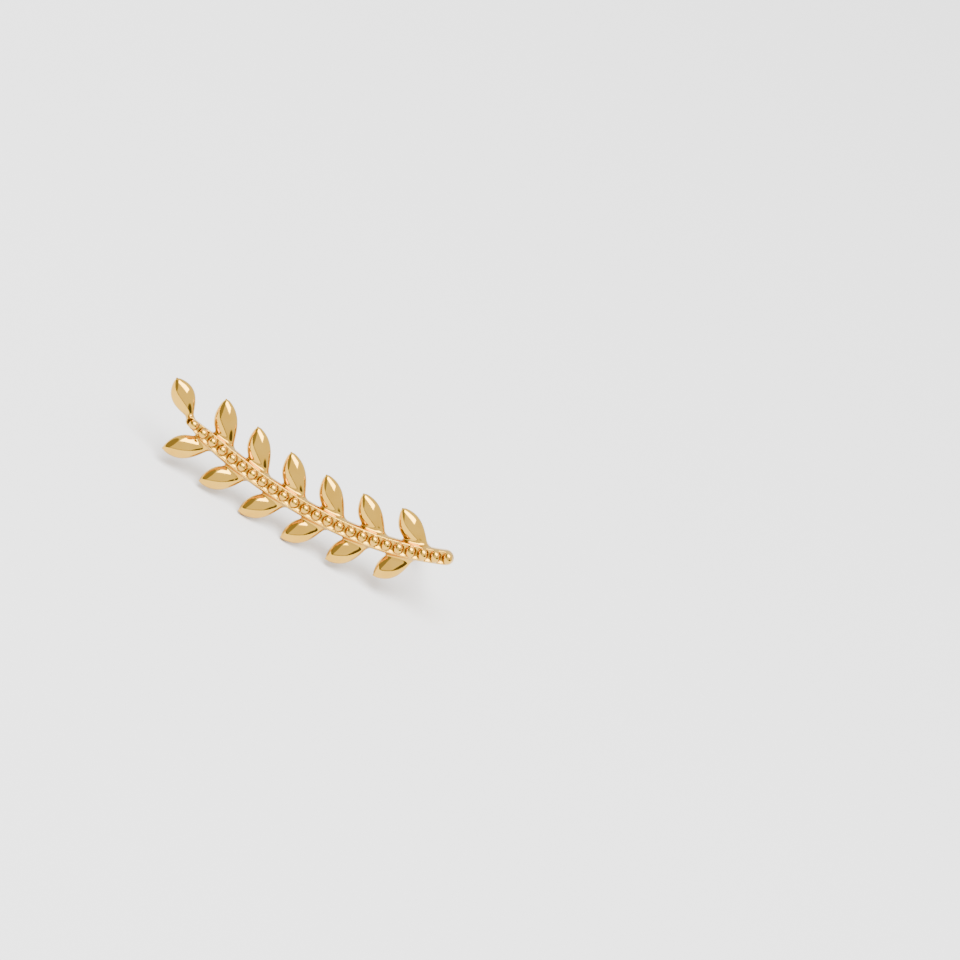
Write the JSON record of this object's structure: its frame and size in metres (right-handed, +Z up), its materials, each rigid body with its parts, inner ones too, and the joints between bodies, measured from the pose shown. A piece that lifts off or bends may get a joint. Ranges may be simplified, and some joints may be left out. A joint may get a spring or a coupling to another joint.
{
  "type": "ear climber",
  "caption": "Laurel branch ear climber for one ear: a curved stem with a row of beads, pointed domed leaves on both sides and a straight ear post behind its plain end.",
  "frame": {"origin": "on the surface that it lies on, under the middle of its bounding box", "axes": "+Z up, +X along the branch from its tip leaf to its plain end, the face toward -Y"},
  "size_m": [0.0218, 0.0104, 0.0056],
  "materials": {
    "branch": "polished yellow gold plate",
    "ear_post": "polished yellow gold plate"
  },
  "bodies": {
    "root": {"branch": "branch", "ear_post": "ear_post"}
  },
  "joints": []
}
